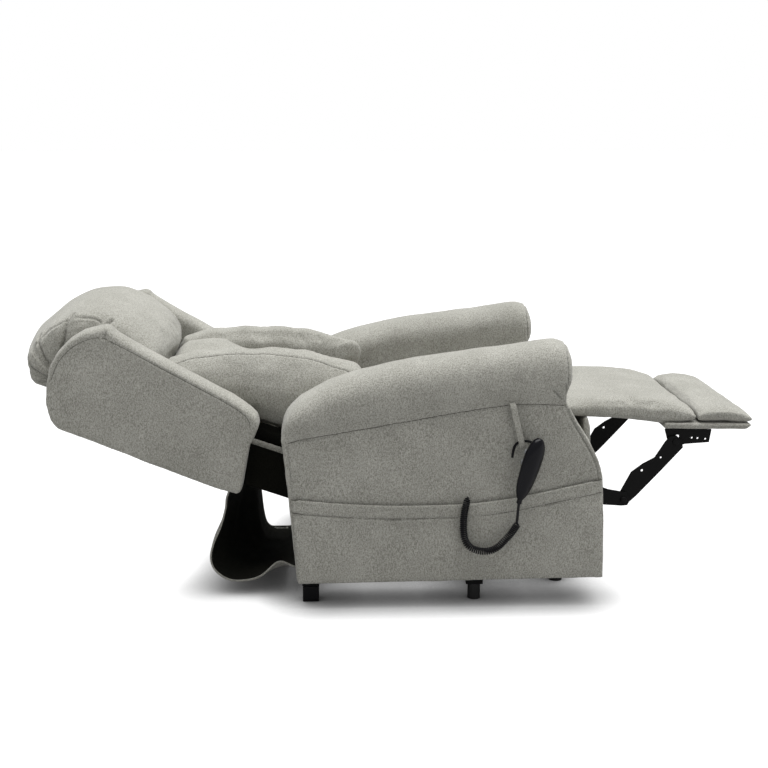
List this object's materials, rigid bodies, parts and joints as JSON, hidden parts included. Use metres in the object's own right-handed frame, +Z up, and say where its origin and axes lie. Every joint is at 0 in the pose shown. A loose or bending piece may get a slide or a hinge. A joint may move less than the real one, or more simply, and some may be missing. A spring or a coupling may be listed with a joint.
{
  "type": "riser recliner chair",
  "caption": "Fabric riser recliner with wing back, swing-out legrest, tilting lift base and wired handset, shown reclined.",
  "frame": {"origin": "middle of the rest-pose footprint box, on the floor", "axes": "+X towards the front of the chair where the legrest swings out, +Z up, -Y to the right of a person seated in it"},
  "size_m": [1.7746, 0.8724, 0.7102],
  "materials": {
    "heather_fabric": "coarse heather weave, matte",
    "black_lining": "thin non-woven lining, matte",
    "black_steel": "satin powder coat",
    "zinc_steel": "bright zinc plate",
    "spring_steel": "oiled wire",
    "timber": "planed, unfinished",
    "black_plastic": "fine moulded texture",
    "gloss_black": "gloss",
    "key_grey": "soft matte",
    "black_rubber": "matte",
    "black_cable": "semi-matte sheath"
  },
  "bodies": {
    "floor_stand": {"floor_frame": "black_steel", "rear_feet": "black_plastic", "middle_feet": "black_rubber", "front_feet": "black_rubber", "link_lugs": "black_steel", "lift_motor_clevis": "black_steel"},
    "rear_links": {"rear_lift_links": "black_steel", "lift_torque_tube": "black_steel"},
    "front_links": {"front_lift_links": "black_steel"},
    "lift_motor_body": {"lift_motor": "black_plastic"},
    "lift_rod_body": {"lift_rod": "zinc_steel"},
    "seat_unit": {"seat_lift_plates": "black_steel", "seat_rails": "timber", "seat_springs": "spring_steel", "seat_cushion": "heather_fabric", "front_rail": "heather_fabric", "seat_front_pad": "heather_fabric", "legrest_hanger_plates": "black_steel", "motor_crossmembers": "black_steel", "control_box": "black_plastic", "arm_left": "heather_fabric", "arm_right": "heather_fabric", "arm_board_left": "timber", "arm_board_right": "timber", "arm_spacer_blocks": "timber", "side_pocket": "heather_fabric", "handset_strap": "heather_fabric", "coil_cable": "black_cable", "back_flap": "heather_fabric"},
    "backrest": {"back_lining": "black_lining", "back_frame": "timber", "back_springs": "spring_steel", "back_deck_pad": "heather_fabric", "wing_left": "heather_fabric", "wing_right": "heather_fabric", "head_cushion": "heather_fabric", "lumbar_cushion": "heather_fabric", "bolster_left": "heather_fabric", "bolster_right": "heather_fabric", "back_hinge_plates": "black_steel", "recline_crank": "black_steel"},
    "recline_motor_body": {"recline_motor": "black_plastic"},
    "recline_rod_body": {"recline_rod": "zinc_steel"},
    "legrest": {"legrest_pad": "heather_fabric", "toe_pad": "heather_fabric", "legrest_board": "heather_fabric", "legrest_brackets": "black_steel"},
    "legrest_lower": {"legrest_lower_links": "black_steel", "legrest_torque_tube": "black_steel"},
    "legrest_upper": {"legrest_upper_links": "black_steel"},
    "legrest_motor_body": {"legrest_motor": "black_plastic"},
    "legrest_rod_body": {"legrest_rod": "zinc_steel"},
    "handset": {"handset_back": "gloss_black", "handset_front": "gloss_black", "handset_hook": "black_plastic", "handset_lead": "black_cable"},
    "button_recline": {"key_recline": "key_grey"},
    "button_upright": {"key_upright": "key_grey"},
    "button_raise": {"key_raise": "key_grey"},
    "button_lower": {"key_lower": "key_grey"}
  },
  "joints": [
    {"name": "lift_raise", "type": "hinge", "parent": "floor_stand", "child": "rear_links", "pos_m": [0.29751, 0.0212, 0.11], "axis": [0, 1, 0], "range_deg": [0, 65]},
    {"name": "lift_seat_tilt", "type": "hinge", "parent": "rear_links", "child": "seat_unit", "pos_m": [-0.03249, 0.0212, 0.13], "axis": [0, 1, 0], "range_deg": [-37.05, 0]},
    {"name": "lift_front_swing", "type": "hinge", "parent": "floor_stand", "child": "front_links", "pos_m": [0.43951, 0.0212, 0.095], "axis": [0, 1, 0], "range_deg": [0, 69.05]},
    {"name": "lift_motor_swing", "type": "hinge", "parent": "floor_stand", "child": "lift_motor_body", "pos_m": [-0.11449, 0.0212, 0.15], "axis": [0, 1, 0], "range_deg": [-0.7, 0.05]},
    {"name": "lift_rod_extend", "type": "slide", "parent": "lift_motor_body", "child": "lift_rod_body", "axis": [0.9998, 0, 0.0194], "range_m": [0, 0.0645]},
    {"name": "backrest_recline", "type": "hinge", "parent": "seat_unit", "child": "backrest", "pos_m": [-0.07749, 0.0212, 0.33], "axis": [0, 1, 0], "range_deg": [0, 57]},
    {"name": "recline_motor_swing", "type": "hinge", "parent": "seat_unit", "child": "recline_motor_body", "pos_m": [0.27751, 0.0212, 0.262], "axis": [0, 1, 0], "range_deg": [-0.3, 0.05]},
    {"name": "recline_rod_extend", "type": "slide", "parent": "recline_motor_body", "child": "recline_rod_body", "axis": [-0.9998, 0, 0.0202], "range_m": [0, 0.067]},
    {"name": "footrest_extend", "type": "hinge", "parent": "seat_unit", "child": "legrest", "pos_m": [0.51951, 0.0212, 0.43], "axis": [0, 1, 0], "range_deg": [0, 88]},
    {"name": "footrest_lower_link", "type": "hinge", "parent": "seat_unit", "child": "legrest_lower", "pos_m": [0.40751, 0.0212, 0.25], "axis": [0, 1, 0], "range_deg": [0, 97.6]},
    {"name": "footrest_upper_link", "type": "hinge", "parent": "legrest", "child": "legrest_upper", "pos_m": [0.70751, 0.0212, 0.357], "axis": [0, 1, 0], "range_deg": [-96.4, 0]},
    {"name": "footrest_motor_swing", "type": "hinge", "parent": "seat_unit", "child": "legrest_motor_body", "pos_m": [0.08751, 0.0212, 0.205], "axis": [0, 1, 0], "range_deg": [-0.7, 0.05]},
    {"name": "footrest_rod_extend", "type": "slide", "parent": "legrest_motor_body", "child": "legrest_rod_body", "axis": [0.9991, 0, 0.0433], "range_m": [-0.0678, 0]},
    {"name": "handset_unhook", "type": "slide", "parent": "seat_unit", "child": "handset", "axis": [0, 0, 1], "range_m": [0, 0.04]},
    {"name": "press_recline", "type": "slide", "parent": "handset", "child": "button_recline", "axis": [0.5485, -0.8192, -0.1677], "range_m": [0, 0.0012], "stiffness_N_per_m": 400},
    {"name": "press_upright", "type": "slide", "parent": "handset", "child": "button_upright", "axis": [0.5485, -0.8192, -0.1677], "range_m": [0, 0.0012], "stiffness_N_per_m": 400},
    {"name": "press_raise", "type": "slide", "parent": "handset", "child": "button_raise", "axis": [0.5485, -0.8192, -0.1677], "range_m": [0, 0.0012], "stiffness_N_per_m": 400},
    {"name": "press_lower", "type": "slide", "parent": "handset", "child": "button_lower", "axis": [0.5485, -0.8192, -0.1677], "range_m": [0, 0.0012], "stiffness_N_per_m": 400}
  ],
  "couplings": [
    {"joint": "lift_seat_tilt", "follows": "lift_raise", "ratio": -0.56923},
    {"joint": "lift_front_swing", "follows": "lift_raise", "ratio": 1.0615},
    {"joint": "lift_motor_swing", "follows": "lift_raise", "ratio": -0.009895},
    {"joint": "lift_rod_extend", "follows": "lift_raise", "m_per_rad": 0.056692},
    {"joint": "recline_motor_swing", "follows": "backrest_recline", "ratio": -0.003484},
    {"joint": "recline_rod_extend", "follows": "backrest_recline", "m_per_rad": 0.067138},
    {"joint": "footrest_lower_link", "follows": "footrest_extend", "ratio": 1.108},
    {"joint": "footrest_upper_link", "follows": "footrest_extend", "ratio": -1.0943},
    {"joint": "footrest_motor_swing", "follows": "footrest_extend", "ratio": -0.006654},
    {"joint": "footrest_rod_extend", "follows": "footrest_extend", "m_per_rad": -0.044005}
  ]
}
